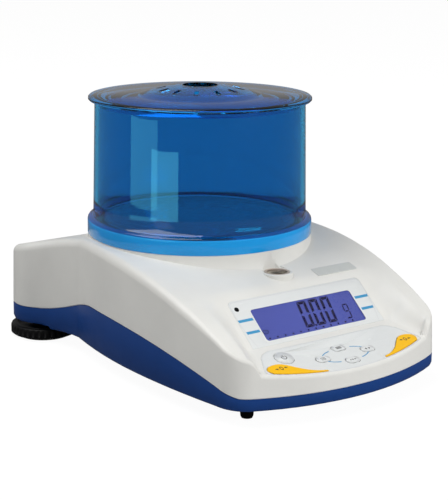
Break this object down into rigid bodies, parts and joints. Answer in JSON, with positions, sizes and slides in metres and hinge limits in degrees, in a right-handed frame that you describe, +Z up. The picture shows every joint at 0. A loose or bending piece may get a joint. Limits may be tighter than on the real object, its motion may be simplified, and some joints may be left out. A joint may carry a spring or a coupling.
{
  "type": "laboratory balance",
  "caption": "Top-loading laboratory balance with a round tinted draft shield and lid, sloping display and keypad, level bubble and adjustable rear feet.",
  "frame": {"origin": "under the middle of the outline, on the surface that the feet stand on", "axes": "+X to the user's right, +Y towards the back, +Z up"},
  "size_m": [0.1784, 0.245, 0.1614],
  "materials": {
    "white_plastic": "fine satin moulded ABS",
    "blue_plastic": "satin moulded ABS",
    "panel_film": "printed polyester film",
    "amber_key": "printed film over a key",
    "clear_window": "clear acrylic",
    "lcd": "backlit liquid crystal panel",
    "tinted_acrylic": "polished blue acrylic",
    "dark_plastic": "black moulded plastic",
    "circuit_board": "solder mask",
    "light_guide": "translucent white",
    "aluminium": "machined",
    "stainless": "brushed",
    "zinc_steel": "zinc plated",
    "brass": "turned",
    "rubber": "moulded rubber",
    "cell_wrap": "shrink film",
    "level_ring": "moulded plastic",
    "level_fluid": "clear vial"
  },
  "bodies": {
    "chassis": {"upper_housing": "white_plastic", "lower_housing": "blue_plastic", "housing_screws": "zinc_steel", "front_feet": "rubber", "foot_inserts": "brass", "display_face": "panel_film", "keypad_face": "panel_film", "display_window": "clear_window", "indicator_lens": "dark_plastic", "lcd_bezel": "dark_plastic", "lcd_panel": "lcd", "lcd_backlight": "light_guide", "display_board": "circuit_board", "keypad_board": "circuit_board", "key_switches": "dark_plastic", "panel_screws": "zinc_steel", "main_board": "circuit_board", "board_parts": "dark_plastic", "board_screws": "zinc_steel", "load_cell": "aluminium", "load_cell_mount": "aluminium", "load_cell_screws": "zinc_steel", "overload_stop": "zinc_steel", "battery_pack": "cell_wrap", "level_cup": "level_ring", "level_vial": "level_fluid", "interface_board": "circuit_board", "power_inlet": "dark_plastic", "serial_port": "zinc_steel", "serial_posts": "zinc_steel", "usb_port": "zinc_steel"},
    "carrier": {"pan_carrier": "aluminium", "carrier_screws": "zinc_steel", "carrier_pads": "rubber"},
    "pan": {"weighing_pan": "stainless"},
    "shield": {"draft_shield": "tinted_acrylic"},
    "lid": {"shield_lid": "tinted_acrylic"},
    "tare_left": {"tare_key_left": "amber_key"},
    "tare_right": {"tare_key_right": "amber_key"},
    "power": {"power_key": "panel_film"},
    "mode": {"mode_key": "panel_film"},
    "units": {"units_key": "panel_film"},
    "print": {"print_key": "panel_film"},
    "count": {"count_key": "panel_film"},
    "left_pad": {"foot_pad_left": "rubber"},
    "right_pad": {"foot_pad_right": "rubber"},
    "left_wheel": {"foot_wheel_left": "dark_plastic", "foot_stud_left": "zinc_steel"},
    "right_wheel": {"foot_wheel_right": "dark_plastic", "foot_stud_right": "zinc_steel"},
    "door": {"battery_door": "blue_plastic"}
  },
  "joints": [
    {"name": "shield_lift", "type": "slide", "parent": "chassis", "child": "shield", "axis": [0, 0, 1], "range_m": [0, 0.12]},
    {"name": "lid_lift", "type": "slide", "parent": "shield", "child": "lid", "axis": [0, 0, 1], "range_m": [0, 0.09]},
    {"name": "pan_load", "type": "slide", "parent": "chassis", "child": "carrier", "axis": [0, 0, -1], "range_m": [0, 0.00045], "stiffness_N_per_m": 13000, "springref_m": -0.00016, "deforming": ["load_cell"]},
    {"name": "pan_lift", "type": "slide", "parent": "carrier", "child": "pan", "axis": [0, 0, 1], "range_m": [0, 0.06]},
    {"name": "tare_left_press", "type": "slide", "parent": "chassis", "child": "tare_left", "axis": [0, 0.2756, -0.9613], "range_m": [0, 0.0004], "stiffness_N_per_m": 500, "springref_m": -0.0002},
    {"name": "tare_right_press", "type": "slide", "parent": "chassis", "child": "tare_right", "axis": [0, 0.2756, -0.9613], "range_m": [0, 0.0004], "stiffness_N_per_m": 500, "springref_m": -0.0002},
    {"name": "power_press", "type": "slide", "parent": "chassis", "child": "power", "axis": [0, 0.2756, -0.9613], "range_m": [0, 0.0004], "stiffness_N_per_m": 500, "springref_m": -0.0002},
    {"name": "mode_press", "type": "slide", "parent": "chassis", "child": "mode", "axis": [0, 0.2756, -0.9613], "range_m": [0, 0.0004], "stiffness_N_per_m": 500, "springref_m": -0.0002},
    {"name": "units_press", "type": "slide", "parent": "chassis", "child": "units", "axis": [0, 0.2756, -0.9613], "range_m": [0, 0.0004], "stiffness_N_per_m": 500, "springref_m": -0.0002},
    {"name": "print_press", "type": "slide", "parent": "chassis", "child": "print", "axis": [0, 0.2756, -0.9613], "range_m": [0, 0.0004], "stiffness_N_per_m": 500, "springref_m": -0.0002},
    {"name": "count_press", "type": "slide", "parent": "chassis", "child": "count", "axis": [0, 0.2756, -0.9613], "range_m": [0, 0.0004], "stiffness_N_per_m": 500, "springref_m": -0.0002},
    {"name": "left_foot_lift", "type": "slide", "parent": "chassis", "child": "left_pad", "axis": [0, 0, -1], "range_m": [-0.00251, 0.00501]},
    {"name": "left_foot_turn", "type": "hinge", "parent": "left_pad", "child": "left_wheel", "pos_m": [-0.068, 0.1013, 0], "axis": [0, 0, -1], "range_deg": [-720, 1440]},
    {"name": "right_foot_lift", "type": "slide", "parent": "chassis", "child": "right_pad", "axis": [0, 0, -1], "range_m": [-0.00251, 0.00501]},
    {"name": "right_foot_turn", "type": "hinge", "parent": "right_pad", "child": "right_wheel", "pos_m": [0.068, 0.1013, 0], "axis": [0, 0, -1], "range_deg": [-720, 1440]},
    {"name": "battery_door_swing", "type": "hinge", "parent": "chassis", "child": "door", "pos_m": [0.04, 0.0617, 0.0099], "axis": [1, 0, 0], "range_deg": [0, 80]}
  ],
  "couplings": [
    {"joint": "left_foot_lift", "follows": "left_foot_turn", "m_per_rad": 0.00019894},
    {"joint": "right_foot_lift", "follows": "right_foot_turn", "m_per_rad": 0.00019894}
  ]
}
